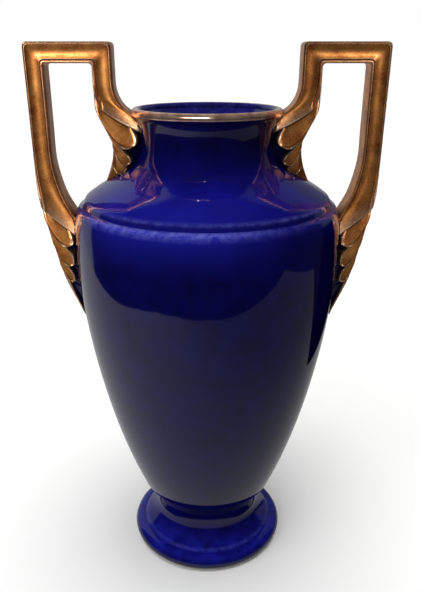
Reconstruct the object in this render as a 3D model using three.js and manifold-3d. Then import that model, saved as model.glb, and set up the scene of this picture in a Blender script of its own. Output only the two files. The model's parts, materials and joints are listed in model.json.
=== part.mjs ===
// A two-handled amphora vase, one hollow piece of glazed earthenware: a waisted foot, a tall belly, a
// stepped shoulder, a short neck with a rolled lip, and two square-cornered handles that rise above the
// mouth and run out on the neck and the belly in tails of overlapping husks.
// Millimetres, +Z up, origin at the centre of the foot's underside, handles along X.
import * as THREE from "three";
import { LoftGeometry } from "three/addons/geometries/LoftGeometry.js";
import { mergeVertices } from "three/addons/utils/BufferGeometryUtils.js";
import Module from "manifold-3d";

const at = (x, z) => new THREE.Vector2(x, z);

// Overall
const HEIGHT = 301; // to the top of the handles
const HALF_SPAN = 91.3; // from the axis to a handle's outer face
const BODY_SIDES = 44; // facets round the turned body

// The turned body: radii and heights along its outside
const FOOT = { ringInner: 37, ringOuter: 44.3, bareR: 45.4, bareZ: 1, bulgeR: 48, bulgeZ: 5.6 };
const CREASE = { r: 40.9, z: 10.2, step: 0.5 };
const STEM = { r: 30.5, z: 30, topR: 34, topZ: 36.5 };
const BELLY = { lowR: 41.7, lowZ: 44.5, fullR: 72.4, fullZ: 195 };
const RIDGE = { r: 69.3, z: 220.2 };
const GROOVE = { r: 67.2, z: 221.6 };
const SHOULDER = { r: 65.5, z: 224.7 };
const NECK = { r: 34.5, z: 253 };
const LIP = { r: 37.3, z: 267.5, bead: 2.3, startAngle: -1.2, endAngle: 3.3 }; // angles in radians

// The hollow: the wall, the places inside that keep its thickness, and the recess under the foot
const WALL = 5;
const INSIDE = { neckZ: 254, shoulderR: 61.8, shoulderZ: 220.2, lowZ: 47.5, floorZ: 31 };
const RECESS = { z: 22.5, edgeR: 36, edgeZ: 1.6 };

// The points that each curved stretch of the body's outline bends towards
const PULL = {
  recess: [at(22, RECESS.z), at(30, 11)],
  footSide: [at(FOOT.bulgeR, 2.2)],
  footTop: [at(46.8, CREASE.z - CREASE.step)],
  stem: [at(35.2, 14.5), at(STEM.r, 20)],
  stemTop: [at(STEM.r, 34.5)],
  bellyFoot: [at(39.5, 39.1)],
  belly: [at(62, 94), at(BELLY.fullR, 157)],
  bellyTop: [at(BELLY.fullR, 208), at(72, 217.6)],
  shoulder: [at(50.5, 236.5), at(NECK.r, 237)],
  neck: [at(NECK.r, 260)],
  lipInner: [at(NECK.r - WALL, 262)],
  neckInner: [at(NECK.r - WALL, 231.5), at(48, 231)],
  shoulderInner: [at(67, 213.5)],
  bellyInner: [at(BELLY.fullR - WALL, 157), at(57, 94)],
  floor: [at(32.5, 37.5), at(20, INSIDE.floorZ)],
};

// The handles' bars
const TOP_BAR = 10; // height of the bar across the top
const ARM = 9.6; // width of the outer arm
const POST = { lipSide: 47.5, loopSide: 57.6 }; // the inner post's two sides
const BAR_HALF_DEPTH = 6.75; // half of the bars' depth, front to back
const FLUTE = -1.1; // the hollow along a bar's front and back
const EDGE = 0.9; // softening of a bar's four edges
const OUTER_CORNER = 2.4; // rounding of the frame's outer corners
const LOOP_CORNER = 1.8; // rounding of the frame's corners inside the loop

// The husks on the handles' tails, in millimetres and in shares of a husk's length
const HUSK = {
  count: 3, // those above the tip
  tipSize: 1.5, // the tip's share of the relief, as a number of husks
  rise: 1, // of the lower edge over the tail
  swell: 0.3, // share of the rise halfway up
  crown: 1.2, // of the middle over the sides
  sink: 0.9, // of the top, under the edge of the husk above
  droop: 0.45, // share by which the edge hangs lower in the middle
  ledge: 0.06, // share taken by the ledge at the edge
};

const WELD = 1e-4; // points closer than this are one point

// A stretch of an outline after its first point: straight, or bent towards one or two points.
function stretch(from, pulls, to, steps) {
  const kinds = [THREE.LineCurve, THREE.QuadraticBezierCurve, THREE.CubicBezierCurve];
  return new kinds[pulls.length](from, ...pulls, to).getPoints(steps).slice(1);
}

// The outline of the turned body, from the middle of the recess round to the middle of the inner floor:
// each stretch with the number of steps that its curve needs.
function bodyOutline() {
  const recessTop = at(0, RECESS.z);
  const recessEdge = at(RECESS.edgeR, RECESS.edgeZ);
  const ringInner = at(FOOT.ringInner, 0);
  const ringOuter = at(FOOT.ringOuter, 0);
  const bare = at(FOOT.bareR, FOOT.bareZ);
  const bulge = at(FOOT.bulgeR, FOOT.bulgeZ);
  const creaseLow = at(CREASE.r + CREASE.step, CREASE.z - CREASE.step);
  const crease = at(CREASE.r, CREASE.z);
  const stem = at(STEM.r, STEM.z);
  const stemTop = at(STEM.topR, STEM.topZ);
  const bellyLow = at(BELLY.lowR, BELLY.lowZ);
  const bellyFull = at(BELLY.fullR, BELLY.fullZ);
  const ridge = at(RIDGE.r, RIDGE.z);
  const groove = at(GROOVE.r, GROOVE.z);
  const shoulder = at(SHOULDER.r, SHOULDER.z);
  const neck = at(NECK.r, NECK.z);
  const bead = new THREE.EllipseCurve(LIP.r, LIP.z, LIP.bead, LIP.bead, LIP.startAngle, LIP.endAngle);
  const beadPoints = bead.getPoints(7);
  const neckInner = at(NECK.r - WALL, INSIDE.neckZ);
  const shoulderInner = at(INSIDE.shoulderR, INSIDE.shoulderZ);
  const fullInner = at(BELLY.fullR - WALL, BELLY.fullZ);
  const lowInner = at(BELLY.lowR - WALL, INSIDE.lowZ);
  const floor = at(0, INSIDE.floorZ);

  return [
    recessTop,
    ...stretch(recessTop, PULL.recess, recessEdge, 5),
    ...stretch(recessEdge, [], ringInner, 1),
    ...stretch(ringInner, [], ringOuter, 1),
    ...stretch(ringOuter, [], bare, 1),
    ...stretch(bare, PULL.footSide, bulge, 3),
    ...stretch(bulge, PULL.footTop, creaseLow, 4),
    ...stretch(creaseLow, [], crease, 1),
    ...stretch(crease, PULL.stem, stem, 5),
    ...stretch(stem, PULL.stemTop, stemTop, 3),
    ...stretch(stemTop, PULL.bellyFoot, bellyLow, 3),
    ...stretch(bellyLow, PULL.belly, bellyFull, 9),
    ...stretch(bellyFull, PULL.bellyTop, ridge, 5),
    ...stretch(ridge, [], groove, 1),
    ...stretch(groove, [], shoulder, 1),
    ...stretch(shoulder, PULL.shoulder, neck, 7),
    ...stretch(neck, PULL.neck, beadPoints[0], 3),
    ...beadPoints.slice(1),
    ...stretch(beadPoints.at(-1), PULL.lipInner, neckInner, 2),
    ...stretch(neckInner, PULL.neckInner, shoulderInner, 5),
    ...stretch(shoulderInner, PULL.shoulderInner, fullInner, 3),
    ...stretch(fullInner, PULL.bellyInner, lowInner, 6),
    ...stretch(lowInner, PULL.floor, floor, 4),
  ];
}

// The right handle's two edges in the XZ plane, as a pair of points for each place along it: first on
// the side of its loop, then on its other side, which is sunk in the wall wherever a tail lies on the body.
const UPPER_TAIL = [
  [at(55, 231), at(52, 229)],
  [at(51, 241), at(41.5, 237)],
  [at(49.7, 248), at(34.5, 245.5)],
  [at(50.4, 255.5), at(32.5, 252.5)],
  [at(56.3, 267.5), at(34, 259.5)],
  [at(POST.loopSide, 273), at(44, 269.6)],
  [at(POST.loopSide, 279), at(POST.lipSide, 277)],
];
const LOWER_TAIL = [
  [at(68.5, 153), at(72.2, 153.5)],
  [at(67.5, 176), at(80.8, 176.5)],
  [at(68, 188), at(84.2, 192)],
  [at(68, 199), at(86.4, 203)],
  [at(68.5, 208), at(89.2, 217)],
  [at(77, 223.5), at(91, 229)],
  [at(HALF_SPAN - ARM, 240), at(HALF_SPAN, 242)],
];
const UPPER_HALF_DEPTHS = [0, 4.6, 6.4, 7.4, 7.8, 7, BAR_HALF_DEPTH];
const LOWER_HALF_DEPTHS = [0, 5, 6.8, 7.8, 8.2, 7.2, BAR_HALF_DEPTH];

// The ring of a bar's or tail's section: share of the way across, face (front -1, back 1), and whether
// the place is on the hollowed or crowned face or on an edge.
const ACROSS = [0.1, 0.3, 0.5, 0.7, 0.9];
const RING = [
  ...ACROSS.map((share) => ({ share, face: 1, flat: true })),
  { share: 1, face: 1, flat: false },
  { share: 1, face: -1, flat: false },
  ...ACROSS.toReversed().map((share) => ({ share, face: -1, flat: true })),
  { share: 0, face: -1, flat: false },
  { share: 0, face: 1, flat: false },
];
const archOf = (share) => 1 - (2 * share - 1) ** 2;

// One section. edgesAt gives the two edges for a droop, which pulls the middle of the face along the tail.
function section(edgesAt, half, crown) {
  return RING.map(({ share, face, flat }) => {
    const [loopEdge, otherEdge] = edgesAt(flat ? archOf(share) : 0);
    const place = loopEdge.clone().lerp(otherEdge, share);
    const depth = flat ? half + crown * archOf(share) : half - EDGE;
    return new THREE.Vector3(place.x, face * depth, place.y);
  });
}

// A tail's sections from its tip up to the bar. A husk ends at each of the first pairs of edge points: it
// rises towards that lower edge, which stands as a ledge over the husk below it.
function tailSections(pairs, halfDepths) {
  const loopSide = new THREE.SplineCurve(pairs.map((pair) => pair[0]));
  const otherSide = new THREE.SplineCurve(pairs.map((pair) => pair[1]));
  const depths = new THREE.SplineCurve(halfDepths.map((depth, i) => at(i, depth)));
  const last = pairs.length - 1;
  const row = (place, rise, crown, droop) => {
    const edgesAt = (arch) => {
      const along = Math.max(0, place - droop * arch) / last;
      return [loopSide.getPoint(along), otherSide.getPoint(along)];
    };
    return section(edgesAt, depths.getPoint(place / last).y + rise, crown);
  };

  const tip = pairs[0][0].clone().lerp(pairs[0][1], 0.5);
  const rows = [RING.map(() => new THREE.Vector3(tip.x, 0, tip.y))];
  for (let husk = 0; husk <= HUSK.count; husk++) {
    const size = (husk + HUSK.tipSize) / (HUSK.count + HUSK.tipSize);
    if (husk > 0) rows.push(row(husk, HUSK.rise * size, HUSK.crown * size, HUSK.droop));
    rows.push(row(husk + 0.5, HUSK.swell * HUSK.rise * size, HUSK.crown * size, HUSK.droop));
    rows.push(row(husk + 1 - HUSK.ledge, -HUSK.sink * size, 0, HUSK.droop));
  }
  const barStart = HUSK.count + 1;
  const steps = 4;
  for (let step = 0; step <= steps; step++) {
    const share = step / steps;
    const place = THREE.MathUtils.lerp(barStart, last, share);
    rows.push(row(place, HUSK.rise * (1 - share) ** 2, FLUTE, HUSK.droop * (1 - share)));
  }
  return rows;
}

// The rounded, mitred corner of the frame: way is 1 where the post meets the top bar, -1 at the outer arm.
function cornerSections(loopX, outerX, way) {
  const steps = 3;
  const turned = (x, z, radius, angle) =>
    at(x + way * radius * (1 - Math.cos(angle)), z - radius * (1 - Math.sin(angle)));
  const rows = [];
  for (let step = 0; step <= steps; step++) {
    const angle = ((Math.PI / 2) * (way > 0 ? step : steps - step)) / steps;
    const loopEdge = turned(loopX, HEIGHT - TOP_BAR, LOOP_CORNER, angle);
    const outerEdge = turned(outerX, HEIGHT, OUTER_CORNER, angle);
    rows.push(section(() => [loopEdge, outerEdge], BAR_HALF_DEPTH, FLUTE));
  }
  return rows;
}

// The right handle, from the tip of its tail on the neck to the tip of its tail on the belly.
function handleGeometry() {
  const sections = [
    ...tailSections(UPPER_TAIL, UPPER_HALF_DEPTHS),
    ...cornerSections(POST.loopSide, POST.lipSide, 1),
    ...cornerSections(HALF_SPAN - ARM, HALF_SPAN, -1),
    ...tailSections(LOWER_TAIL, LOWER_HALF_DEPTHS).toReversed(),
  ];
  return new LoftGeometry(sections);
}

const wasm = await Module();
wasm.setup();

// A closed solid from a geometry, with its shared points merged and collapsed triangles left out.
function solidOf(geometry) {
  const shell = new THREE.BufferGeometry().copy(geometry);
  shell.deleteAttribute("normal");
  shell.deleteAttribute("uv");
  const merged = mergeVertices(shell, WELD);
  const corners = merged.index.array;
  const kept = [];
  for (let i = 0; i < corners.length; i += 3) {
    const [a, b, c] = corners.slice(i, i + 3);
    if (a !== b && b !== c && c !== a) kept.push(a, b, c);
  }
  const vertProperties = new Float32Array(merged.attributes.position.array);
  return new wasm.Manifold(new wasm.Mesh({ numProp: 3, vertProperties, triVerts: new Uint32Array(kept) }));
}

function geometryOf(solid) {
  const { vertProperties, triVerts } = solid.getMesh();
  const geometry = new THREE.BufferGeometry();
  geometry.setAttribute("position", new THREE.BufferAttribute(vertProperties, 3));
  geometry.setIndex(new THREE.BufferAttribute(triVerts, 1));
  geometry.computeVertexNormals();
  return geometry;
}

const body = new THREE.LatheGeometry(bodyOutline(), BODY_SIDES).rotateX(Math.PI / 2);
const rightHandle = handleGeometry();
const leftHandle = new THREE.BufferGeometry().copy(rightHandle).rotateZ(Math.PI);
const vaseSolid = solidOf(body).add(solidOf(rightHandle)).add(solidOf(leftHandle));

const cobaltGlaze = new THREE.MeshStandardMaterial({ color: 0x15177a, roughness: 0.1, metalness: 0 });
const vase = new THREE.Mesh(geometryOf(vaseSolid), cobaltGlaze);
vase.name = "vase";

const part = new THREE.Group();
part.add(vase);

export default part;
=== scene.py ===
"""A cobalt-glazed amphora vase with gilt handles: its looks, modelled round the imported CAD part.

The body is turned from an outline, the handles are drawn out ring by ring with their carved husks, and
the three are fused into the one fired piece that stands for the CAD node.
"""

import json
import math
from collections import namedtuple

import bmesh
import bpy
import numpy as np
from bpy.props import FloatProperty, FloatVectorProperty, IntProperty, PointerProperty
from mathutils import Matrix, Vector

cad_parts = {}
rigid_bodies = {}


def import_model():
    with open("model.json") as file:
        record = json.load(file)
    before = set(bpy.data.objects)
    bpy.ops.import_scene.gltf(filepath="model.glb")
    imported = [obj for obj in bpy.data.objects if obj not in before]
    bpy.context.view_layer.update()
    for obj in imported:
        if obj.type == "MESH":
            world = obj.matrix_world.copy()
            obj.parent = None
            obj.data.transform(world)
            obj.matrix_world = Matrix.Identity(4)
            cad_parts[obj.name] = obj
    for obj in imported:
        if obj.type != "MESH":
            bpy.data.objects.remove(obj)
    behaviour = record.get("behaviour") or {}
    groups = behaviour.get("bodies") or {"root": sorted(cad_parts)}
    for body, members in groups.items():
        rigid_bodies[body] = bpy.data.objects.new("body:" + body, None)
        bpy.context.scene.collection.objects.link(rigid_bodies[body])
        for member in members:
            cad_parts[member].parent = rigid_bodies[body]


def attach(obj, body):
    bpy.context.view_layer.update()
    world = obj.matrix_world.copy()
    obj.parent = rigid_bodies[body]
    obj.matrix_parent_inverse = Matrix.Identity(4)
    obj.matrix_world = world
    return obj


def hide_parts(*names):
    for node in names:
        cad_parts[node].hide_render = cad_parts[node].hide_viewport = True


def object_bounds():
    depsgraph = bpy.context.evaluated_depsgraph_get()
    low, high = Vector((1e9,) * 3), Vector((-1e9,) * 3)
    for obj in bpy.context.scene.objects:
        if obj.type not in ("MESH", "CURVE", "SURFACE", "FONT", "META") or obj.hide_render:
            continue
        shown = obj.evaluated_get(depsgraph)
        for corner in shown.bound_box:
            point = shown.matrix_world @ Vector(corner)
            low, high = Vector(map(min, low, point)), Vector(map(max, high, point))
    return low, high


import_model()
CAD_LOW, CAD_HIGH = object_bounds()

bl_info = {
    "name": "Gilt-handled cobalt vase",
    "version": (1, 0, 0),
    "blender": (4, 5, 0),
    "location": "3D View > Sidebar > Vase",
    "description": "Models a two-handled amphora vase in cobalt glaze and gold lustre, and its studio stage",
    "category": "Object",
}

MM = 0.001
NODE = "vase"

# The photograph's camera, in pixels of its frame
FRAME_WIDTH = 421
FRAME_HEIGHT = 592
FOCAL = 621.06
CENTRE_X = 207.2
CENTRE_Y = 314.5
SENSOR = 36  # in millimetres, along the frame's longer side
CLIP_START = 10  # in millimetres


def paint(code, alpha=1.0):
    """An sRGB hex colour as linear RGBA."""
    channels = [int(code[i : i + 2], 16) / 255 for i in (0, 2, 4)]
    linear = [c / 12.92 if c <= 0.04045 else ((c + 0.055) / 1.055) ** 2.4 for c in channels]
    return (*linear, alpha)


def length(name, description, millimetres):
    """A length that a user may change, with its default in millimetres."""
    return FloatProperty(name=name, description=description, default=millimetres * MM, unit="LENGTH")


def angle(name, description, degrees):
    """An angle that a user may change, with its default in degrees."""
    return FloatProperty(name=name, description=description, default=math.radians(degrees), subtype="ANGLE")


def colour(name, description, code):
    """A colour that a user may change, with its default as an sRGB hex code."""
    return FloatVectorProperty(
        name=name, description=description, default=paint(code), size=4, subtype="COLOR", min=0, max=1
    )


class BodySizes(bpy.types.PropertyGroup):
    foot_radius: length("Foot radius", "Widest radius of the foot", 48)
    stem_radius: length("Stem radius", "Narrowest radius over the foot", 31.3)
    belly_radius: length("Belly radius", "Widest radius of the belly", CAD_HIGH.y / MM)
    neck_radius: length("Neck radius", "Narrowest radius of the neck", 34.5)
    lip_radius: length("Lip radius", "Radius to the middle of the lip's bead", 37.3)
    lip_bead: length("Lip bead", "Radius of the lip's bead", 2.3)
    wall: length("Wall", "Thickness of the fired wall", 5)
    sides: IntProperty(name="Sides", description="Steps of the spin round the axis", default=160, min=24)


class HandleSizes(bpy.types.PropertyGroup):
    top: length("Top", "Height of the handles' top", CAD_HIGH.z / MM)
    half_span: length("Half span", "From the axis to a handle's outer face", CAD_HIGH.x / MM)
    top_bar: length("Top bar", "Height of the bar across the top", 10)
    arm: length("Arm", "Width of the outer arm", 9.6)
    half_depth: length("Half depth", "Half of the bars' depth, front to back", 6.75)
    edge: length("Edge", "Rounding of the bars' edges", 0.9)
    tail_edge: length("Tail edge", "Rounding of the tails' edges", 2.6)
    outer_corner: length("Outer corner", "Rounding of the frame's outer corners", 2.2)
    loop_corner: length("Loop corner", "Rounding of the corners inside the loop", 1.8)
    husk_rise: length("Husk rise", "How far a husk's lower edge stands over the tail", 1.5)
    husk_sink: length("Husk sink", "How far a husk's top is tucked under the one above", 0.9)
    husk_crown: length("Husk crown", "How far a husk's middle stands over its sides", 1.3)
    husk_hollow: length("Husk hollow", "How deep the gaps between the husks and the body are", 5)
    flute_depth: length("Flute depth", "How deep the flute lies in a bar's face", 0.8)
    fillet: IntProperty(name="Fillet", description="Smoothing passes where glaze meets gilding", default=4)


class Finishes(bpy.types.PropertyGroup):
    cobalt: colour("Cobalt", "Glaze at its usual thickness", "0C0B69")
    cobalt_deep: colour("Deep cobalt", "Glaze that is a little thicker, in clouds", "08064C")
    # Also painted shade: darker in hollows and in the groove, where the glaze has pooled too
    cobalt_pooled_and_shade: colour("Pooled cobalt", "Glaze run thick in hollows and at the foot's rim", "040430")
    # Painted light: the glaze lighter over the belly's top, the shoulder and the foot, most on the left,
    # where the light falls
    cobalt_painted_light: colour("Light cobalt", "Thinner glaze by the groove, on shoulder and foot", "1B1FA0")
    # Also painted highlights along edges, the brow, the brim and the foot's step, and a painted reflection
    # by the mouth
    cobalt_thin_and_highlight: colour("Thin cobalt", "Glaze that breaks over an edge", "6468C4")
    gold: colour("Gold", "Burnished lustre", "F3A65A")
    gold_dark: colour("Dark gold", "Lustre where it is thin and brown", "B4632E")
    # Painted highlight: lustre lighter on edges and rims
    gold_highlight: colour("Bright gold", "Lustre rubbed bright on edges and rims", "FFE8CC")
    # Painted shade: lustre darkened in the gilding's hollows
    gold_hollow_shade: colour("Grime", "Dirt in the gilding's hollows", "2A140A")
    lip_pale: colour("Pale lip", "Gilding on the lip where it is whole", "F6CDB4")
    lip_dark: colour("Dark lip", "Gilding on the lip where it is rubbed through", "96604E")
    clay: colour("Clay", "Bare fired clay under the foot", "D8D0C0")
    clay_soiled: colour("Soiled clay", "Bare clay where it is soiled", "A89C88")
    floor: colour("Floor", "The studio floor", "FBFBFA")
    floor_grey: colour("Grey floor", "The studio floor where it is a little darker", "F8F8F7")


class StageSettings(bpy.types.PropertyGroup):
    left_power: FloatProperty(
        name="Left lamps", description="Stronger lamp on the left handle, in watts", default=29
    )
    right_power: FloatProperty(
        name="Right lamps", description="Stronger lamp on the right handle, in watts", default=12.5
    )
    lip_power: FloatProperty(
        name="Lip lamps", description="Strongest lamp on the lip's front, in watts", default=20
    )
    lamp_azimuth: angle("Lamp azimuth", "How far the handles' lamps stand to their sides", 24)
    lamp_elevation: angle("Lamp elevation", "How high the handles' lamps stand", 22)
    camera_height: length("Camera height", "Height of the lens over the floor", 296.6)
    camera_distance: length("Camera distance", "From the lens to the vase's axis, along the floor", 338.6)
    camera_pitch: angle("Camera pitch", "How far the camera looks down", 22.99)


def bend(points, steps):
    """The points after the first along a Bezier curve through two ends, with any number of pulls between."""
    made = []
    for step in range(1, steps + 1):
        level = [Vector(point) for point in points]
        while len(level) > 1:
            level = [a.lerp(b, step / steps) for a, b in zip(level, level[1:])]
        made.append(level[0])
    return made


def arc(centre, radius, start, end, steps):
    """Points along a circular arc, its first included, with angles in radians."""
    angles = [start + (end - start) * step / steps for step in range(steps + 1)]
    return [Vector(centre) + radius * Vector((math.cos(a), math.sin(a))) for a in angles]


def spline(knots, place):
    """A point of the smooth curve through the knots, where place counts knots from the first."""
    last = len(knots) - 1
    place = min(max(place, 0), last)
    at = min(int(place), last - 1)
    share = place - at
    a, b, c, d = (Vector(knots[min(max(at + i, 0), last)]) for i in (-1, 0, 1, 2))
    out, into = (c - a) / 2, (d - b) / 2
    return (
        b
        + out * share
        + (3 * (c - b) - 2 * out - into) * share**2
        + (2 * (b - c) + out + into) * share**3
    )


def blend(a, b, share):
    """a at share 0, b at share 1 and evenly between."""
    return a + (b - a) * share


def fall(value, run):
    """1 at 0, falling evenly to 0 at the end of the run and beyond."""
    return max(0, 1 - value / run)


def smooth(value):
    """0 below 0, 1 above 1 and a soft step between."""
    value = min(max(value, 0), 1)
    return value * value * (3 - 2 * value)


def select_only(piece):
    """Leaves one object selected and active, in object mode."""
    bpy.ops.object.select_all(action="DESELECT")
    piece.select_set(True)
    bpy.context.view_layer.objects.active = piece


# The turned body

GLAZE_ZONE, CLAY_ZONE, LIP_ZONE = range(3)

# Where the bare ring and the lip's gilding begin, in millimetres
BARE_BELOW = 1.2
BARE_OUTSIDE = 36
GILT_ABOVE = 266.2
GILT_OUTSIDE = 36.6


def body_outline(sizes):
    """The outline's (radius, height) in metres, from the middle of the recess to that of the floor."""
    foot = sizes.foot_radius / MM
    stem = sizes.stem_radius / MM
    belly = sizes.belly_radius / MM
    neck = sizes.neck_radius / MM
    wall = sizes.wall / MM
    lip = (sizes.lip_radius / MM, 267.5)
    bead = arc(lip, sizes.lip_bead / MM, -1.2, 3.3, 20)
    recess, ring_inner, ring_outer, bare = (36, 1.6), (37, 0), (44.3, 0), (45.4, 1)
    bulge, step_low, step = (foot, 5.6), (41.7, 9.5), (40.9, 10.3)
    waist, stem_top, belly_low, belly_full = (stem, 23.3), (34, 36.5), (41.7, 44.5), (belly, 195)
    ridge, groove, shoulder, neck_top = (69.3, 220.2), (67.2, 221.6), (65.5, 224.7), (neck, 253)
    neck_in, shoulder_in = (neck - wall, 254), (61.8, 220.2)
    full_in, low_in, floor = (belly - wall, 195), (36.7, 47.5), (0, 31)
    stretches = [
        ([(0, 22.5), (22, 22.5), (30, 11), recess], 8),
        ([recess, (36.2, 0.2), ring_inner], 3),
        ([ring_inner, ring_outer], 2),
        ([ring_outer, (45.2, 0), bare], 3),
        ([bare, (foot, 2.2), bulge], 8),
        ([bulge, (46.8, 9.7), step_low], 10),
        ([step_low, step], 2),
        ([step, (35.4, 14.2), (stem, 18.2), waist], 20),
        ([waist, (stem, 31), stem_top], 10),
        ([stem_top, (39.5, 39.1), belly_low], 8),
        ([belly_low, (62, 94), (belly, 157), belly_full], 44),
        ([belly_full, (belly, 208), (72, 217.6), ridge], 20),
        ([ridge, (67.6, 221.2), groove], 4),
        ([groove, (66.6, 222.8), shoulder], 4),
        ([shoulder, (50.5, 236.5), (neck, 237), neck_top], 28),
        ([neck_top, (neck, 260), bead[0]], 8),
        (bead, 0),
        ([bead[-1], (neck - wall, 262), neck_in], 6),
        ([neck_in, (neck - wall, 231.5), (48, 231), shoulder_in], 14),
        ([shoulder_in, (67, 213.5), full_in], 8),
        ([full_in, (belly - wall, 157), (57, 94), low_in], 22),
        ([low_in, (32.5, 37.5), (20, 31), floor], 8),
    ]
    outline = [Vector(stretches[0][0][0])]
    for points, steps in stretches:
        outline += bend(points, steps) if steps else points[1:]
    return [point * MM for point in outline]


def body_zone(place):
    """A body face's finish: the ring it stands on is bare, and the lip's outside is gilded."""
    radius = math.hypot(place.x, place.y) / MM
    height = place.z / MM
    if height < BARE_BELOW and radius > BARE_OUTSIDE:
        return CLAY_ZONE
    if height > GILT_ABOVE and radius > GILT_OUTSIDE:
        return LIP_ZONE
    return GLAZE_ZONE


class VASE_OT_body(bpy.types.Operator):
    """Draws the body's outline out of one point and spins it round the axis"""

    bl_idname = "vase.body"
    bl_label = "Turn the body"

    def execute(self, context):
        sizes = context.scene.vase_body
        outline = body_outline(sizes)
        bpy.ops.object.select_all(action="DESELECT")
        bpy.ops.mesh.primitive_plane_add(size=sizes.foot_radius, location=(0, 0, 0))
        body = context.object
        body.name = "turned_body"
        bpy.ops.object.mode_set(mode="EDIT")
        bpy.ops.mesh.merge(type="CENTER")
        bpy.ops.transform.translate(value=(outline[0].x, 0, outline[0].y))
        for near, far in zip(outline, outline[1:]):
            step = (far.x - near.x, 0, far.y - near.y)
            bpy.ops.mesh.extrude_region_move(TRANSFORM_OT_translate={"value": step})
        bpy.ops.mesh.select_all(action="SELECT")
        bpy.ops.mesh.spin(steps=sizes.sides, angle=math.tau, center=(0, 0, 0), axis=(0, 0, 1))
        bpy.ops.mesh.select_all(action="SELECT")
        bpy.ops.mesh.remove_doubles(threshold=BODY_WELD * MM)
        bpy.ops.mesh.normals_make_consistent(inside=False)
        bpy.ops.object.mode_set(mode="OBJECT")
        for finish in (cobalt_glaze, bare_clay, lip_gilding):
            body.data.materials.append(finish(context.scene.vase_finishes))
        for face in body.data.polygons:
            face.material_index = body_zone(face.center)
        return {"FINISHED"}


# The handles

# One of the right handle's two tails, with the bar it runs into. Lengths are in millimetres.
# loop, other: its edges in the XZ plane, on the loop's side and on the other side.
# depths: its half depth at each knot of those edges.
# husks: the husks' lower edges from the tip up, then the bar's end. Each has its place on the loop's side
# and on the other side in knots, how far its point hangs lower, the share across at that point, and the
# shares from the body at which its leaf begins: in the notch at its top, then at its widest.
# axis: the way the husks hang.
# body_side: the share across, 0 or 1, of the edge that lies against the body.
Tail = namedtuple("Tail", "loop other depths husks axis body_side")

UPPER_TAIL = Tail(
    loop=[
        (55, 231), (51, 241), (49.7, 248), (50.4, 255.5),
        (56.3, 267.5), (57.6, 273), (57.6, 280), (57.6, 288),
    ],
    other=[
        (52, 229), (41.5, 237), (34.5, 245.5), (32.5, 252.5),
        (34, 263.5), (43, 270.4), (47, 278), (47.5, 288),
    ],
    depths=[(0, 0), (1, 4.6), (2, 6.4), (3, 7.4), (4, 7.8), (5, 7), (6, 6.75), (7, 6.75)],
    husks=[
        (0, 0, 0, 0.4, 0.6, 0.5),
        (1, 1, 3.5, 0.4, 0.58, 0.42),
        (2.33, 2.2, 8.2, 0.38, 0.52, 0.36),
        (4.18, 3.07, 10.4, 0.52, 0.22, 0.12),
        (5.67, 3.45, 5.2, 0.18, 0, 0),
    ],
    axis=(0, -1),
    body_side=1,
)
LOWER_TAIL = Tail(
    loop=[
        (68.5, 153), (67.5, 176), (68, 188), (68, 199),
        (68.5, 208), (77, 223.5), (81.4, 241), (81.7, 257),
    ],
    other=[
        (72.2, 153.5), (80.8, 176.5), (84.2, 192), (86.4, 203),
        (89.2, 217), (90.9, 229), (91.25, 242), (91.3, 257),
    ],
    depths=[(0, 0), (1, 5), (2, 6.8), (3, 7.8), (4, 8.2), (5, 7.2), (6, 6.75), (7, 6.75)],
    husks=[
        (0, 0, 0, 0.6, 0.72, 0.62),
        (0.85, 1.65, 7.2, 0.62, 0.66, 0.45),
        (1.8, 2.86, 9.2, 0.63, 0.54, 0.33),
        (3.1, 3.82, 11, 0.65, 0.3, 0.25),
        (3.17, 4.2, 1.2, 0.7, 0, 0),
    ],
    axis=(-0.12, -0.99),
    body_side=0,
)

# Along a husk from its top to its lower edge: the share of its length, and the relief there
HUSK_ROWS = [
    (0, -1), (0.04, -0.85), (0.1, -0.6), (0.18, -0.3), (0.28, 0), (0.4, 0.22), (0.52, 0.4), (0.64, 0.53),
    (0.74, 0.62), (0.82, 0.68), (0.87, 0.76), (0.905, 0.95), (0.935, 1.14), (0.96, 1.2), (0.98, 1.1),
    (0.993, 0.9), (1, 0.65),
]
LEDGE = 0.03  # of a knot, the run of the ledge under a husk
ARCH_POWER = 1.8  # how blunt a husk's point and crown are

# A leaf, in shares of its length: where it has opened out of its notch, where its end starts to close, and
# the run of that
LEAF_OPEN = 0.55
LEAF_CLOSE = 0.7
LEAF_CLOSE_RUN = 0.3
LEAF_CLOSE_POWER = 2.2
# and in shares of the width across
LEAF_ROUND = 0.28  # how far its end turns away from the body
LEAF_SIDE = 0.05  # the run of its side down into the hollow
RIM_INSET = 0.05  # from its side to its raised rim
RIM_WIDTH = 0.035
RIM_RISE = 0.5  # in millimetres, on the largest husk
# The rim of its lower edge carries a painted highlight from this share of its length on, over this run
EDGE_HIGHLIGHT_FROM = 0.88
EDGE_HIGHLIGHT_OVER = 0.06

# The bar's end over the last husk: its rows, crowded towards the end, and its runs in shares of its length
BAR_ROWS = 24
BAR_CROWDING = 1.6
SCOOP_RUN = 0.55  # over which the flute's floor rises to the husk's height
SCOOP_POWER = 1.7
SCOOP_FLUTE = 0.7  # the share of the flute's depth that is left at the end
END_HIGHLIGHT_RUN = 0.34  # over which the gilding carries a painted highlight
BEAD_RUN = 0.13
BEAD_RISE = 0.3  # in millimetres
ROUND_RUN = 0.02  # over which the very end is rounded off
ROUND_DROP = 0.45  # in millimetres

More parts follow.
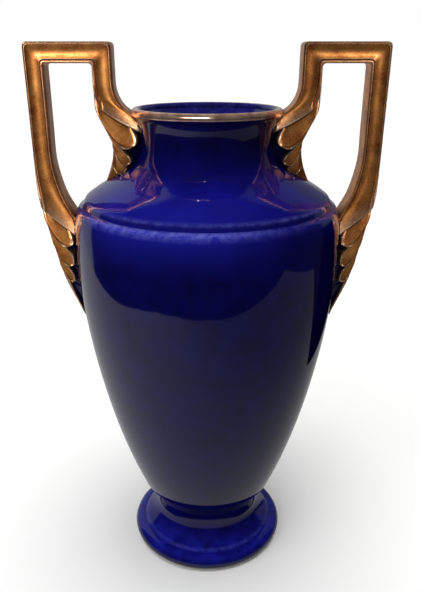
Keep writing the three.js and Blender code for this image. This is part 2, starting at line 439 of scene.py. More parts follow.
# Across a bar's face from the loop side, in shares of its width: a rim bead, a groove, a flute and a rim
BAR_FACE = [
    (0, 0), (0.105, 0), (0.135, -0.2), (0.168, -0.9), (0.2, -0.4), (0.84, -0.4), (0.86, -0.1), (0.875, 0),
    (0.905, 0), (0.925, -0.5), (0.945, 0), (1, 0),
]
FLUTE = (0.2, 0.84)
FLUTE_STEPS = 30
FACE_SHARES = (
    [0, 0.012, 0.035, 0.07, 0.105, 0.12, 0.135, 0.15, 0.168, 0.184]
    + [FLUTE[0] + (FLUTE[1] - FLUTE[0]) * step / FLUTE_STEPS for step in range(FLUTE_STEPS + 1)]
    + [0.85, 0.86, 0.875, 0.89, 0.905, 0.915, 0.925, 0.935, 0.945, 0.96, 0.975, 0.988, 1]
)
SIDE_ROWS = (-0.34, 0.34)  # of the depth at the edge, on a bar's narrow sides
CORNER_STEPS = 7

# A handle point's mark: glazed or gilded, and below 0 the stronger the painted highlight on its gilding,
# down to -1
GLAZED = 1
GILDED = 0

HIGHLIGHT_WEIGHT = 0.12  # how far a rim with full painted highlight counts as an edge
CREASE_ROUNDS = 1  # of evening out the creases between neighbouring points
CREASE_ANGLE = 38  # in degrees, over which an edge is shaded sharp

# How near to each other points are welded, and how short an edge is dissolved, in millimetres
BODY_WELD = 0.01
HANDLE_WELD = 0.004
HANDLE_SLIVER = 0.002
FUSED_WELD = 0.02
FILLET_FACTOR = 0.5  # how far a smoothing pass moves a point


def channel(share, flute_depth):
    """How deep a bar's face lies at that share across it."""
    base = 0
    for (near, low), (far, high) in zip(BAR_FACE, BAR_FACE[1:]):
        if near <= share <= far:
            base = blend(low, high, (share - near) / (far - near))
    middle, half = (FLUTE[0] + FLUTE[1]) / 2, (FLUTE[1] - FLUTE[0]) / 2
    return base - flute_depth * max(0, 1 - ((share - middle) / half) ** 2)


def arch(share, peak):
    """1 at the peak and 0 at both sides."""
    reach = peak if share < peak else 1 - peak
    return 1 - abs((share - peak) / reach) ** ARCH_POWER


def leaf_edge(share, notch, widest):
    """The share from the body at which a leaf begins, that far down it: out of its notch, round its end."""
    opening = fall(share, LEAF_OPEN) ** 2
    closing = max(0, (share - LEAF_CLOSE) / LEAF_CLOSE_RUN) ** LEAF_CLOSE_POWER
    return widest + (notch - widest) * opening + LEAF_ROUND * closing


def edge_drop(distance, radius):
    """How far a face falls away at that distance from a rounded edge."""
    if distance >= radius:
        return 0
    return radius - math.sqrt(radius**2 - (radius - distance) ** 2)


def section(loop_side, other_side, half_depth, relief, edge, hang=None):
    """One ring round a bar or tail between its two edge points.

    relief gives for a share across how far the faces are raised there, and the mark, which each point of the
    ring carries as its fourth number. hang gives the shift of a point along the tail.
    """
    width = (other_side - loop_side).length
    front = []
    for share in FACE_SHARES:
        place = loop_side.lerp(other_side, share) + (hang(share) if hang else Vector((0, 0)))
        drop = edge_drop(min(share, 1 - share) * width, min(edge, half_depth))
        height, mark = relief(share)
        front.append((place.x, max(0, half_depth + height - drop), place.y, mark))
    first, last = front[0], front[-1]
    ring = [Vector((x, -y, z, mark)) for x, y, z, mark in front]
    ring += [Vector((last[0], last[1] * side, *last[2:])) for side in SIDE_ROWS]
    ring += [Vector((x, y, z, mark)) for x, y, z, mark in reversed(front)]
    ring += [Vector((first[0], first[1] * side, *first[2:])) for side in reversed(SIDE_ROWS)]
    return ring


def tail_section(tail, station, relief, edge):
    """A tail's ring at a station: its places on the loop's side and the other, its hang and its peak."""
    loop_place, other_place, droop, peak = station

    def hang(share):
        return Vector(tail.axis) * droop * arch(share, peak)

    half_depth = spline(tail.depths, (loop_place + other_place) / 2).y
    loop_side, other_side = spline(tail.loop, loop_place), spline(tail.other, other_place)
    return section(loop_side, other_side, half_depth, relief, edge, hang)


def husk_relief(sizes, tail, husk, share, height, size, peak):
    """The relief across a husk, that share down it: its leaf, and the glazed hollow by the body."""
    rise, sink, hollow = sizes.husk_rise / MM, sizes.husk_sink / MM, sizes.husk_hollow / MM
    crown = sizes.husk_crown / MM
    lift = size * height * (rise if height > 0 else sink)
    leaf_start = leaf_edge(share, *husk[4:])
    end = smooth((share - EDGE_HIGHLIGHT_FROM) / EDGE_HIGHLIGHT_OVER)

    def relief(across):
        inward = abs(across - tail.body_side)
        behind = smooth((leaf_start - inward) / LEAF_SIDE + 0.5)
        rim = math.exp(-(((inward - leaf_start - RIM_INSET) / RIM_WIDTH) ** 2))
        leaf = lift + size * crown * (arch(across, peak) - 0.5) + RIM_RISE * size * rim
        # The leaf's rim, and the lower edge towards its end, are marked for painted highlight
        mark = GLAZED if behind > 0.5 else -max(end, rim)
        return blend(leaf, -size * hollow, behind), mark

    return relief


def husk_rings(sizes, tail):
    """A tail's rings from its tip up to the bar's end, husk over husk, each larger than the one below."""
    rings = []
    for number, (husk, above) in enumerate(zip(tail.husks, tail.husks[1:])):
        size = (number + 2) / len(tail.husks)
        for share, height in reversed(HUSK_ROWS):
            ledge = LEDGE * (1 - share)
            top = [above[0] - ledge, above[1] - ledge, *above[2:4]]
            station = [blend(a, b, share) for a, b in zip(top, husk)]
            relief = husk_relief(sizes, tail, husk, share, height, size, station[3])
            rings.append(tail_section(tail, station, relief, sizes.tail_edge / MM))
    return rings


def bar_relief(sizes, share, scoop):
    """The relief across a bar, that share from its end: a fluted face, scooped up to a bead, with its end
    marked for painted highlight.
    """
    rise, flute_depth = sizes.husk_rise / MM, sizes.flute_depth / MM
    bead = BEAD_RISE * fall(share, BEAD_RUN) ** 2 - ROUND_DROP * fall(share, ROUND_RUN) ** 2
    highlighted = fall(share, END_HIGHLIGHT_RUN)

    def relief(across):
        face = channel(across, flute_depth)
        return blend(face, rise + SCOOP_FLUTE * face, scoop) + bead, -highlighted

    return relief


def bar_rings(sizes, tail):
    """The rings of the bar over a tail, from its end to where its edges run straight."""
    end = tail.husks[-1][:4]
    last_knot = len(tail.loop) - 1
    rings = []
    for row in range(BAR_ROWS + 1):
        share = (row / BAR_ROWS) ** BAR_CROWDING
        station = [blend(a, b, share) for a, b in zip(end, (last_knot, last_knot, 0, end[3]))]
        scoop = fall(share, SCOOP_RUN) ** SCOOP_POWER
        edge = blend(sizes.edge / MM, sizes.tail_edge / MM, scoop)
        rings.append(tail_section(tail, station, bar_relief(sizes, share, scoop), edge))
    return rings


def corner_rings(sizes, loop_x, outer_x, way):
    """The frame's mitred corner: way is 1 where the post meets the top bar and -1 at the outer arm."""
    top = sizes.top / MM

    def turned(x, z, radius, turn):
        return Vector((x + way * radius * (1 - math.cos(turn)), z - radius * (1 - math.sin(turn))))

    def relief(share):
        return channel(share, sizes.flute_depth / MM), GILDED

    rings = []
    for step in range(CORNER_STEPS + 1):
        turn = math.pi / 2 * (step if way > 0 else CORNER_STEPS - step) / CORNER_STEPS
        loop_side = turned(loop_x, top - sizes.top_bar / MM, sizes.loop_corner / MM, turn)
        outer_side = turned(outer_x, top, sizes.outer_corner / MM, turn)
        rings.append(section(loop_side, outer_side, sizes.half_depth / MM, relief, sizes.edge / MM))
    return rings


def handle_rings(sizes):
    """All rings of the right handle, from the tip on the neck to the tip on the belly, in millimetres."""
    half_span = sizes.half_span / MM
    rings = husk_rings(sizes, UPPER_TAIL) + bar_rings(sizes, UPPER_TAIL)
    rings += corner_rings(sizes, UPPER_TAIL.loop[-1][0], UPPER_TAIL.other[-1][0], 1)
    rings += corner_rings(sizes, half_span - sizes.arm / MM, half_span, -1)
    rings += reversed(husk_rings(sizes, LOWER_TAIL) + bar_rings(sizes, LOWER_TAIL))
    return rings


def draw_out(piece, rings):
    """Extrudes a selected ring of points from ring to ring, each laid where its section says.

    The faces take their slot from the marks, and the UV map takes the marks for painted highlight, because
    the union keeps both.
    """
    drawn = bmesh.from_edit_mesh(piece.data)
    highlight_marks = drawn.loops.layers.uv.verify()
    ring = list(drawn.verts)
    mark = {}
    for number, places in enumerate(rings):
        if number:
            bpy.ops.mesh.extrude_region_move()
            following = []
            for vert in ring:
                ahead = [edge.other_vert(vert) for edge in vert.link_edges]
                following.append(next(other for other in ahead if other.select))
            ring = following
        for vert, place in zip(ring, places):
            vert.co = place.xyz * MM
            mark[vert] = place.w
    for face in drawn.faces:
        face.material_index = int(all(mark[vert] > GILDED for vert in face.verts))
        for loop in face.loops:
            loop[highlight_marks].uv = (max(0, -mark[loop.vert]), 0)
    bmesh.update_edit_mesh(piece.data)


class VASE_OT_handles(bpy.types.Operator):
    """Draws the right handle out ring by ring, and turns a copy of it half round for the left"""

    bl_idname = "vase.handles"
    bl_label = "Model the handles"

    def execute(self, context):
        sizes = context.scene.vase_handles
        rings = handle_rings(sizes)
        bpy.ops.object.select_all(action="DESELECT")
        bpy.ops.mesh.primitive_circle_add(
            vertices=len(rings[0]), radius=sizes.half_depth, location=(0, 0, 0)
        )
        right = context.object
        right.name = "right_handle"
        bpy.ops.object.mode_set(mode="EDIT")
        draw_out(right, rings)
        bpy.ops.mesh.select_all(action="SELECT")
        bpy.ops.mesh.remove_doubles(threshold=HANDLE_WELD * MM)
        bpy.ops.mesh.dissolve_degenerate(threshold=HANDLE_SLIVER * MM)
        bpy.ops.mesh.normals_make_consistent(inside=False)
        bpy.ops.object.mode_set(mode="OBJECT")
        right.data.materials.append(gold_lustre(context.scene.vase_finishes))
        right.data.materials.append(bpy.data.materials.new("glaze_on_handle"))
        select_only(right)
        bpy.ops.object.duplicate()
        left = context.object
        left.name = "left_handle"
        bpy.ops.transform.rotate(value=math.pi, orient_axis="Z", center_override=(0, 0, 0))
        bpy.ops.object.transform_apply(location=True, rotation=True, scale=True)
        return {"FINISHED"}


def mark_creases(mesh):
    """Stores for each point how hollow, above 0, or edged or marked for painted highlight, below 0, the
    surface is there.
    """
    count = len(mesh.vertices)
    places = np.empty(3 * count)
    normals = np.empty(3 * count)
    mesh.vertices.foreach_get("co", places)
    mesh.vertices.foreach_get("normal", normals)
    places, normals = places.reshape(-1, 3), normals.reshape(-1, 3)
    ends = np.empty(2 * len(mesh.edges), dtype=np.int32)
    mesh.edges.foreach_get("vertices", ends)
    here = np.concatenate([ends[0::2], ends[1::2]])
    there = np.concatenate([ends[1::2], ends[0::2]])
    way = places[there] - places[here]
    lift = np.einsum("ij,ij->i", way, normals[here]) / np.linalg.norm(way, axis=1)
    neighbours = np.bincount(here, minlength=count)
    crease = np.bincount(here, lift, count) / neighbours
    for _ in range(CREASE_ROUNDS):
        crease = (crease + np.bincount(here, crease[there], count) / neighbours) / 2
    corners = np.empty(len(mesh.loops), dtype=np.int32)
    mesh.loops.foreach_get("vertex_index", corners)
    highlight_marks = np.empty(2 * len(corners))
    mesh.uv_layers.active.uv.foreach_get("vector", highlight_marks)
    mesh.uv_layers.remove(mesh.uv_layers.active)
    highlighted = np.bincount(corners, highlight_marks[0::2], count) / np.bincount(corners, minlength=count)
    # Points marked for painted highlight count as edges
    crease -= HIGHLIGHT_WEIGHT * highlighted
    mesh.attributes.new("crease", "FLOAT", "POINT").data.foreach_set("value", crease.astype(np.float32))


class VASE_OT_fuse(bpy.types.Operator):
    """Fuses the handles to the body as one fired piece, which stands for the CAD node"""

    bl_idname = "vase.fuse"
    bl_label = "Fuse the piece"

    def execute(self, context):
        vase = bpy.data.objects["turned_body"]
        select_only(vase)
        for name in ("right_handle", "left_handle"):
            handle = bpy.data.objects[name]
            union = vase.modifiers.new(name, "BOOLEAN")
            union.operation = "UNION"
            union.solver = "EXACT"
            union.material_mode = "TRANSFER"
            union.object = handle
            bpy.ops.object.modifier_apply(modifier=union.name)
            bpy.data.objects.remove(handle)
        gold = vase.data.materials.find("gold_lustre_burnished")
        if gold < 0:
            raise RuntimeError("the handles did not fuse to the body")
        bpy.ops.object.mode_set(mode="EDIT")
        bpy.ops.mesh.select_all(action="SELECT")
        bpy.ops.mesh.remove_doubles(threshold=FUSED_WELD * MM)
        bpy.ops.mesh.select_mode(type="VERT")
        bpy.ops.mesh.select_all(action="DESELECT")
        drawn = bmesh.from_edit_mesh(vase.data)
        for vert in drawn.verts:
            on_handle = {face.material_index >= gold for face in vert.link_faces}
            vert.select = len(on_handle) > 1
        for face in drawn.faces:
            if face.material_index > gold:
                face.material_index = GLAZE_ZONE
        drawn.select_flush_mode()
        bmesh.update_edit_mesh(vase.data)
        bpy.ops.mesh.select_more()
        bpy.ops.mesh.vertices_smooth(factor=FILLET_FACTOR, repeat=context.scene.vase_handles.fillet)
        bpy.ops.mesh.select_all(action="SELECT")
        bpy.ops.mesh.quads_convert_to_tris()
        bpy.ops.object.mode_set(mode="OBJECT")
        vase.data.materials.pop(index=gold + 1)
        bpy.ops.object.shade_smooth_by_angle(angle=math.radians(CREASE_ANGLE))
        mark_creases(vase.data)
        vase.name = "amphora_vase"
        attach(vase, "root")
        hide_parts(NODE)
        return {"FINISHED"}


# Finishes


def add(tree, kind, inputs=None, **settings):
    """A new node: settings are its properties, inputs its sockets' values or the outputs that feed them."""
    node = tree.nodes.new(kind)
    for name, value in settings.items():
        setattr(node, name, value)
    for socket, value in (inputs or {}).items():
        if isinstance(value, bpy.types.NodeSocket):
            tree.links.new(value, node.inputs[socket])
        else:
            node.inputs[socket].default_value = value
    return node


def per(millimetres):
    """The scale that gives a pattern features of that size on Object coordinates."""
    return 1 / (millimetres * MM)


def start_material(name):
    """A material with its shader and the place on the piece that its patterns read."""
    material = bpy.data.materials.new(name)
    material.use_nodes = True
    tree = material.node_tree
    place = add(tree, "ShaderNodeTexCoord").outputs["Object"]
    return material, tree, tree.nodes["Principled BSDF"], place


GROOVE_LINE = 221.2  # the height of the groove between belly and shoulder, in millimetres

# Lines round the body on which the glaze changes, as their heights in millimetres: painted highlights along
# the brim and the foot's step, and painted shade in the groove
GLAZE_LINES = {"brim_highlight": 223.9, "groove": 222.1, "step": 10.8}


def cobalt_glaze(finishes):
    """Cobalt-blue lead glaze over earthenware, dipped and fired.

    It is deep and glassy, a little cloudy, paler where it is thin and near black where it has pooled. Its
    colour
    also holds painted light: lighter on the left and over the belly's top, the shoulder and the foot,
    painted highlights along edges, the brow, the brim and the foot's step, a painted reflection by the
    mouth, and painted shade in hollows, in the groove and by the left handle.
    """
    material, tree, shader, place = start_material("cobalt_glaze_dipped")
    cloud = add(
        tree, "ShaderNodeTexNoise", {"Vector": place, "Scale": per(14), "Detail": 4, "Roughness": 0.6}
    )
    patch = add(tree, "ShaderNodeTexNoise", {"Vector": place, "Scale": per(9), "Detail": 3})
    mottle = add(
        tree, "ShaderNodeTexNoise", {"Vector": place, "Scale": per(4), "Detail": 6, "Roughness": 0.75}
    )
    crease = add(tree, "ShaderNodeAttribute", attribute_name="crease").outputs["Fac"]
    scaled = add(tree, "ShaderNodeVectorMath", {0: place, "Scale": 1 / MM}, operation="SCALE")
    axes = add(tree, "ShaderNodeSeparateXYZ", {"Vector": scaled.outputs["Vector"]})
    across, height = axes.outputs["X"], axes.outputs["Z"]
    off = {}
    for line, level in GLAZE_LINES.items():
        away = add(tree, "ShaderNodeMath", {0: height, 1: level}, operation="SUBTRACT")
        off[line] = add(tree, "ShaderNodeMath", {0: away.outputs[0]}, operation="ABSOLUTE").outputs[0]

    # What each amount is read from, where it begins and ends, and its value at both. Lengths in millimetres
    ranges = {
        "clouds": (cloud.outputs["Fac"], 0.35, 0.7, 0, 1),
        "patches": (patch.outputs["Fac"], 0.36, 0.62, 0.45, 1.5),
        "mottling": (mottle.outputs["Fac"], 0.38, 0.64, 0.12, 1),
        # Painted shade: the painted light and highlights fade next to the left handle
        "handle_shade": (across, -66, -46, 0.1, 1),
        "foot_rim": (height, 4, 9, 0.1, 1),
        # Painted light: lighter towards the belly's top, the foot's top and the shoulder's edge, which face
        # the light from above
        "belly": (height, 199, 219.5, 0, 0.95),
        "foot": (height, 24, 11, 0, 0.55),
        "shoulder": (height, 243, 224.5, 0, 0.45),
        # Painted highlight along the belly's top edge, where the glaze also breaks thin
        "brow_highlight": (height, 216.6, 220.6, 0, 1),
        # Painted reflection: the glaze lighter towards the mouth, inside and out
        "mouth_reflection": (height, 256, 267, 0, 0.15),
        # Painted highlight along the shoulder's lower edge
        "brim_highlight": (off["brim_highlight"], 1.4, 0, 0, 0.45),
        # Painted highlight along the foot's step
        "step": (off["step"], 1, 0.2, 0, 0.25),
        # Lighter on convex edges: glaze breaking thin, and painted highlight
        "ridge": (crease, -0.05, -0.18, 0, 0.45),
        # Darker in hollows: pooled glaze and painted shade
        "hollow": (crease, 0.03, 0.14, 0, 0.45),
        "run": (height, 9, 3, 0, 0.8),
        # Painted shade in the groove, where the glaze has also pooled
        "groove": (off["groove"], 1.9, 1.1, 0, 0.38),
    }
    amount = {}
    for name, (source, begin, end, first, last) in ranges.items():
        limits = {"From Min": begin, "From Max": end, "To Min": first, "To Max": last}
        amount[name] = add(tree, "ShaderNodeMapRange", {"Value": source, **limits}).outputs["Result"]
    # Painted light: the lightening and the painted highlights are strongest on the left and fade to the
    # right, as the light falls from the left
    amount["side"] = add(
        tree,
        "ShaderNodeMapRange",
        {"Value": across, "From Min": -5, "From Max": 45, "To Min": 1, "To Max": 0.12},
        interpolation_type="SMOOTHSTEP",
    ).outputs["Result"]
    for name, test in (("below_groove", "LESS_THAN"), ("above_groove", "GREATER_THAN")):
        amount[name] = add(tree, "ShaderNodeMath", {0: height, 1: GROOVE_LINE}, operation=test).outputs[0]

    # What each amount is multiplied by
    limited = {
        "belly": ("side", "handle_shade", "below_groove"),
        "brow_highlight": ("side", "handle_shade", "below_groove", "mottling"),
        "shoulder": ("side", "handle_shade", "above_groove"),
        "foot": ("foot_rim", "patches"),
        "brim_highlight": ("mottling",),
        "step": ("mottling",),
        "mouth_reflection": ("mottling",),
    }
    for name, factors in limited.items():
        for factor in factors:
            product = add(
                tree, "ShaderNodeMath", {0: amount[name], 1: amount[factor]}, operation="MULTIPLY"
            )
            amount[name] = product.outputs[0]

    # Each coat is laid over the ones before, by the largest of its amounts
    coats = [
        (finishes.cobalt, ["clouds"]),
        # Painted light over the belly's top, the foot and the shoulder
        (finishes.cobalt_painted_light, ["belly", "foot", "shoulder"]),
        # Thin glaze, painted highlights and a painted reflection
        (finishes.cobalt_thin_and_highlight, ["brow_highlight", "brim_highlight", "step", "mouth_reflection", "ridge"]),
        # Pooled glaze and painted shade
        (finishes.cobalt_pooled_and_shade, ["hollow", "run", "groove"]),
    ]
    tone = finishes.cobalt_deep
    for coat, names in coats:
        most = amount[names[0]]
        for name in names[1:]:
            most = add(tree, "ShaderNodeMath", {0: most, 1: amount[name]}, operation="MAXIMUM").outputs[0]
        mixed = add(tree, "ShaderNodeMix", {"Factor": most, "A": tone, "B": coat}, data_type="RGBA")
        tone = mixed.outputs["Result"]
    tree.links.new(tone, shader.inputs["Base Color"])
    shader.inputs["Roughness"].default_value = 0.05
    shader.inputs["IOR"].default_value = 1.5
    return material


def bare_clay(finishes):
    """Unglazed white earthenware: chalky and slightly soiled where it stands."""
    material, tree, shader, place = start_material("earthenware_bare")
    grain = add(tree, "ShaderNodeTexNoise", {"Vector": place, "Scale": per(1.5), "Detail": 5})
    tone = add(
        tree,
        "ShaderNodeMix",
        {"Factor": grain.outputs["Fac"], "A": finishes.clay_soiled, "B": finishes.clay},
        data_type="RGBA",
    )
    tree.links.new(tone.outputs["Result"], shader.inputs["Base Color"])
    shader.inputs["Roughness"].default_value = 0.8
    return material


def gold_lustre(finishes):
    """Fired-on gold lustre, burnished: coppery and speckled, with painted highlights on edges and rims and
    painted shade in hollows.
    """
    material, tree, shader, place = start_material("gold_lustre_burnished")
    speck = add(
        tree, "ShaderNodeTexNoise", {"Vector": place, "Scale": per(0.9), "Detail": 5, "Roughness": 0.7}
    )
    cloud = add(tree, "ShaderNodeTexNoise", {"Vector": place, "Scale": per(7), "Detail": 3})
    uneven = add(
        tree, "ShaderNodeMath", {0: speck.outputs["Fac"], 1: cloud.outputs["Fac"]}, operation="ADD"
    )
    crease = add(tree, "ShaderNodeAttribute", attribute_name="crease").outputs["Fac"]

    # What each amount is read from, where it begins and ends, and its value at both
    ranges = {
        "wear": (uneven.outputs[0], 0.75, 1.15, 0, 1),
        # Painted highlight on convex edges and on marked rims
        "edge": (crease, -0.03, -0.18, 0, 1),
        "grain": (speck.outputs["Fac"], 0.4, 0.6, 0.3, 1),
        # Painted shade in hollows
        "hollow": (crease, 0.03, 0.15, 0, 0.9),
        "roughness": (speck.outputs["Fac"], 0, 1, 0.56, 0.32),
    }
    amount = {}
    for name, (source, begin, end, first, last) in ranges.items():
        limits = {"From Min": begin, "From Max": end, "To Min": first, "To Max": last}
        amount[name] = add(tree, "ShaderNodeMapRange", {"Value": source, **limits}).outputs["Result"]
    highlighted = add(tree, "ShaderNodeMath", {0: amount["edge"], 1: amount["grain"]}, operation="MULTIPLY")

    tone = finishes.gold_dark
    coats = [
        (finishes.gold, amount["wear"]),
        # Painted highlight
        (finishes.gold_highlight, highlighted.outputs[0]),
        # Painted shade
        (finishes.gold_hollow_shade, amount["hollow"]),
    ]
    for coat, share in coats:
        mixed = add(tree, "ShaderNodeMix", {"Factor": share, "A": tone, "B": coat}, data_type="RGBA")
        tone = mixed.outputs["Result"]
    tree.links.new(tone, shader.inputs["Base Color"])
    tree.links.new(amount["roughness"], shader.inputs["Roughness"])
    shader.inputs["Metallic"].default_value = 0.9
    shader.inputs["Coat Weight"].default_value = 0.3
    shader.inputs["Coat Roughness"].default_value = 0.12
    return material


def lip_gilding(finishes):
    """The same lustre on the lip, rubbed thin: pale and pinkish over the glaze."""
    material, tree, shader, place = start_material("gold_lustre_worn")
    speck = add(
        tree, "ShaderNodeTexNoise", {"Vector": place, "Scale": per(6), "Detail": 5, "Roughness": 0.65}
    )
    wear = add(
        tree, "ShaderNodeMapRange", {"Value": speck.outputs["Fac"], "From Min": 0.28, "From Max": 0.6}
    )
    tone = add(
        tree,
        "ShaderNodeMix",
        {"Factor": wear.outputs["Result"], "A": finishes.lip_dark, "B": finishes.lip_pale},
        data_type="RGBA",
    )
    tree.links.new(tone.outputs["Result"], shader.inputs["Base Color"])
    shader.inputs["Metallic"].default_value = 0.75
    shader.inputs["Roughness"].default_value = 0.18
    return material


# The stage

FLOOR = [(-3, -1), (3, -1), (3, 4), (-3, 4)]  # its corners, in metres

# The table's outline as the glaze mirrors it, in metres
TABLE_LEFT = [
    (0.22, -0.365), (0.22, 1.2), (-1.2, 1.2), (-0.6, 0.2), (-0.45, -0.06), (-0.36, -0.22), (-0.27, -0.315),
    (-0.16, -0.365), (0, -0.385),
]
TABLE_RIGHT = [(0.22, -0.365), (0.65, -0.31), (0.65, 0.08), (0.22, 0.08)]
TABLE_SLOPE = (1, -0.6, 0)  # the way in which its glow falls off
TABLE_FADE = (-0.19, 0.36)  # from where to where along that way
TABLE_GLOW = (0.54, 0.17)  # how bright it is at both

# How bright the room is: to the eye, on all sides to soft light, and in what the glaze mirrors
BACKDROP = 1.0
AMBIENT = 0.08
MIRRORED_ROOM = 0.02
MIRRORED_WALL_LEFT = 0.45
MIRRORED_WALL_HIGH = 0.16
MIRRORED_WALL_FAR = 0.4
WALL_LEAN = (0, 1, -0.06)  # the way to the back wall, from the vase

# The lamps' targets and radii are in millimetres, and their angles in degrees

# Soft fills: azimuth, elevation, strength and spread
FILLS = {"overhead_fill": (0, 90, 2.6, 50), "front_fill": (-36, 38, 1.2, 60)}
FILL_TARGET = (0, 0, 150)

# A handle's lamps: share of its power, place across and height of their target, and cone
HANDLE_LAMPS = [(1, 70, 280, 5.8), (0.85, 92, 208, 5)]
HANDLE_LAMP_RADIUS = 15
# The lip's lamps: azimuth, and share of their power
LIP_LAMPS = [(-34, 0.5), (-18, 0.8), (-4, 1)]
LIP_LAMP_ELEVATION = 25
LIP_LAMP_TARGET = (-5, -38, 271)
LIP_LAMP_CONE = 1.3
LIP_LAMP_RADIUS = 5
LAMP_BLEND = 0.7


def studio_floor(finishes):
    """A matt, pale painted board."""
    material, tree, shader, place = start_material("painted_board_matt")
    grain = add(tree, "ShaderNodeTexNoise", {"Vector": place, "Scale": per(120), "Detail": 2})
    tone = add(
        tree,
        "ShaderNodeMix",
        {"Factor": grain.outputs["Fac"], "A": finishes.floor_grey, "B": finishes.floor},
        data_type="RGBA",
    )
    tree.links.new(tone.outputs["Result"], shader.inputs["Base Color"])
    shader.inputs["Roughness"].default_value = 0.9
    shader.inputs["Specular IOR Level"].default_value = 0.1
    return material


def studio_world(scene):
    """White to the eye, soft light on all sides, and to the glaze a dark room with a pale wall."""
    world = bpy.data.worlds.new("studio")
    world.use_nodes = True
    scene.world = world
    tree = world.node_tree
    toward = add(tree, "ShaderNodeTexCoord").outputs["Generated"]
    axes = add(tree, "ShaderNodeSeparateXYZ", {"Vector": toward})
    leaning = add(tree, "ShaderNodeVectorMath", {0: toward, 1: WALL_LEAN}, operation="DOT_PRODUCT")

    # What each amount is read from, where it begins and ends, and its value at the end
    ranges = {
        "behind": (leaning.outputs["Value"], 0.36, 0.42, 1),
        "high": (axes.outputs["Z"], -0.02, 0.08, MIRRORED_WALL_HIGH),
        "far": (axes.outputs["Y"], 0.9, 0.96, MIRRORED_WALL_FAR),
        "rightward": (axes.outputs["X"], -0.25, 0.25, 1),
    }
    amount = {}
    for name, (source, begin, end, last) in ranges.items():
        limits = {"From Min": begin, "From Max": end, "To Max": last}
        amount[name] = add(tree, "ShaderNodeMapRange", {"Value": source, **limits}).outputs["Result"]
    right = add(tree, "ShaderNodeMath", {0: amount["high"], 1: amount["far"]}, operation="MAXIMUM")
    path = add(tree, "ShaderNodeLightPath")

    # The share by which each step keeps the strength so far, and the strength elsewhere
    steps = [
        (amount["rightward"], MIRRORED_WALL_LEFT),
        (amount["behind"], MIRRORED_ROOM),
        (path.outputs["Is Glossy Ray"], AMBIENT),
    ]
    strength = right.outputs[0]
    for share, elsewhere in steps:
        sides = {"Factor": share, "A": elsewhere, "B": strength}
        strength = add(tree, "ShaderNodeMix", sides, data_type="FLOAT").outputs["Result"]
    seen = {"Factor": path.outputs["Is Camera Ray"], "A": strength, "B": BACKDROP}
    strength = add(tree, "ShaderNodeMix", seen, data_type="FLOAT").outputs["Result"]
    tree.links.new(strength, tree.nodes["Background"].inputs["Strength"])
    tree.nodes["Background"].inputs["Color"].default_value = paint("FFFFFF")


def table_glow():
    """What the glaze mirrors of the table: pale on the left, falling off to the right and the front."""
    material, tree, shader, place = start_material("table_reflection")
    along = add(tree, "ShaderNodeVectorMath", {0: place, 1: TABLE_SLOPE}, operation="DOT_PRODUCT")
    begin, end = TABLE_FADE
    first, last = TABLE_GLOW
    limits = {"From Min": begin, "From Max": end, "To Min": first, "To Max": last}
    glow = add(
        tree,
        "ShaderNodeMapRange",
        {"Value": along.outputs["Value"], **limits},
        interpolation_type="SMOOTHSTEP",
    )
    shader.inputs["Base Color"].default_value = paint("000000")
    shader.inputs["Specular IOR Level"].default_value = 0
    shader.inputs["Emission Color"].default_value = paint("FFFFFF")
    tree.links.new(glow.outputs["Result"], shader.inputs["Emission Strength"])
    return material


def lay_plane(name, corners, material):
    """A flat card with its corners at those places."""
    bpy.ops.object.select_all(action="DESELECT")
    bpy.ops.mesh.primitive_circle_add(vertices=len(corners), fill_type="NGON", location=(0, 0, 0))
    card = bpy.context.object
    card.name = name
    for vertex, corner in zip(card.data.vertices, corners):
        vertex.co = (*corner, 0)
    card.data.materials.append(material)
    return card


def only_mirrored(piece):
    """Leaves a card to be seen in reflections alone."""
    piece.visible_camera = False
    piece.visible_diffuse = False
    piece.visible_shadow = False


def add_lamp(kind, name, azimuth, elevation, energy, target, **settings):
    """A lamp a metre off its target, which is in millimetres.

    Its azimuth, counted from the front, and its elevation are in radians.
    """
    level = math.cos(elevation)
    way = Vector((level * math.sin(azimuth), -level * math.cos(azimuth), math.sin(elevation)))
    turn = way.to_track_quat("Z", "Y").to_euler()
    bpy.ops.object.light_add(type=kind, location=Vector(target) * MM + way, rotation=turn)
    lamp = bpy.context.object
    lamp.name = name
    lamp.data.energy = energy
    for setting, value in settings.items():
        setattr(lamp.data, setting, value)
    return lamp


def add_fill(name, azimuth, elevation, energy, spread):
    """Soft light that falls on the piece and shows in no reflection, with its angles in degrees."""
    azimuth, elevation, spread = (math.radians(turn) for turn in (azimuth, elevation, spread))
    lamp = add_lamp("SUN", name, azimuth, elevation, energy, FILL_TARGET, angle=spread)
    lamp.visible_glossy = False


def add_shine(name, azimuth, elevation, energy, target, cone, radius):
    """A narrow spot that shows as shine alone: its cone is in degrees, its radius in millimetres."""
    lamp = add_lamp(
        "SPOT",
        name,
        azimuth,
        elevation,
        energy,
        target,
        spot_size=math.radians(cone),
        spot_blend=LAMP_BLEND,
        shadow_soft_size=radius * MM,
    )
    lamp.visible_diffuse = False


def light_stage(stage):
    """The fills, then the lamps that give the handles and the lip's front their shine."""
    for name, fill in FILLS.items():
        add_fill(name, *fill)
    for side, power in ((-1, stage.left_power), (1, stage.right_power)):
        azimuth, elevation = side * stage.lamp_azimuth, stage.lamp_elevation
        for share, across, height, cone in HANDLE_LAMPS:
            target = (side * across, 0, height)
            add_shine("handle_lamp", azimuth, elevation, share * power, target, cone, HANDLE_LAMP_RADIUS)
    for degrees, share in LIP_LAMPS:
        azimuth, elevation = math.radians(degrees), math.radians(LIP_LAMP_ELEVATION)
        power = share * stage.lip_power
        add_shine("lip_lamp", azimuth, elevation, power, LIP_LAMP_TARGET, LIP_LAMP_CONE, LIP_LAMP_RADIUS)


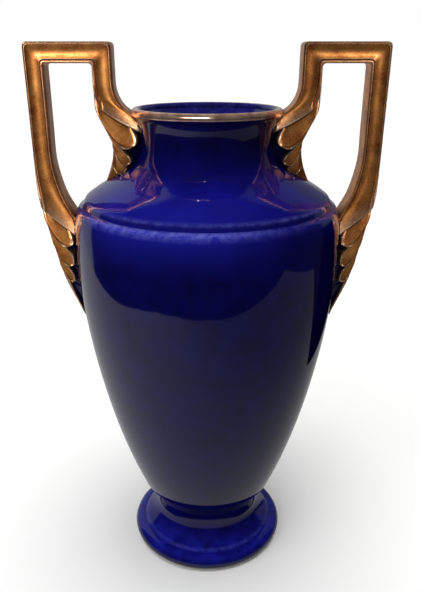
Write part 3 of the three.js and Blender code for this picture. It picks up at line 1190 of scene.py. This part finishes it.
def set_camera(scene):
    """The camera at the photograph's place, with its frame and its centre."""
    stage = scene.vase_stage
    tilt = math.pi / 2 - stage.camera_pitch
    bpy.ops.object.camera_add(
        location=(0, -stage.camera_distance, stage.camera_height), rotation=(tilt, 0, 0)
    )
    camera = bpy.context.object
    camera.data.sensor_width = SENSOR
    camera.data.lens = FOCAL * SENSOR / FRAME_HEIGHT
    camera.data.shift_x = (FRAME_WIDTH / 2 - CENTRE_X) / FRAME_HEIGHT
    camera.data.shift_y = (CENTRE_Y - FRAME_HEIGHT / 2) / FRAME_HEIGHT
    camera.data.clip_start = CLIP_START * MM
    scene.camera = camera


class VASE_OT_stage(bpy.types.Operator):
    """Sets the pale floor, what the glaze mirrors, the lights and the camera at the photograph's angle"""

    bl_idname = "vase.stage"
    bl_label = "Set the stage"

    def execute(self, context):
        scene = context.scene
        floor = lay_plane("floor", FLOOR, studio_floor(scene.vase_finishes))
        floor.visible_glossy = False
        floor.visible_diffuse = False
        glow = table_glow()
        near = lay_plane("table_mirrored_left", TABLE_LEFT, glow)
        far = lay_plane("table_mirrored_right", TABLE_RIGHT, glow)
        only_mirrored(near)
        only_mirrored(far)
        studio_world(scene)
        light_stage(scene.vase_stage)
        set_camera(scene)
        scene.view_settings.view_transform = "Standard"
        return {"FINISHED"}


class VASE_PT_panel(bpy.types.Panel):
    """Lists the sizes and finishes, and the steps in their order"""

    bl_label = "Vase"
    bl_idname = "VASE_PT_panel"
    bl_space_type = "VIEW_3D"
    bl_region_type = "UI"
    bl_category = "Vase"

    def draw(self, context):
        for group in SETTINGS:
            box = self.layout.box()
            settings = getattr(context.scene, group)
            for name in settings.__annotations__:
                box.prop(settings, name)
        for step in STEPS:
            self.layout.operator(step.bl_idname)


SETTINGS = {
    "vase_body": BodySizes,
    "vase_handles": HandleSizes,
    "vase_finishes": Finishes,
    "vase_stage": StageSettings,
}
STEPS = (VASE_OT_body, VASE_OT_handles, VASE_OT_fuse, VASE_OT_stage)
CLASSES = (*SETTINGS.values(), *STEPS, VASE_PT_panel)


def register():
    for kind in CLASSES:
        bpy.utils.register_class(kind)
    for name, kind in SETTINGS.items():
        setattr(bpy.types.Scene, name, PointerProperty(type=kind))


def unregister():
    for name in SETTINGS:
        delattr(bpy.types.Scene, name)
    for kind in reversed(CLASSES):
        bpy.utils.unregister_class(kind)


def main():
    register()
    bpy.ops.vase.body()
    bpy.ops.vase.handles()
    bpy.ops.vase.fuse()
    bpy.ops.vase.stage()


if __name__ == "__main__":
    main()
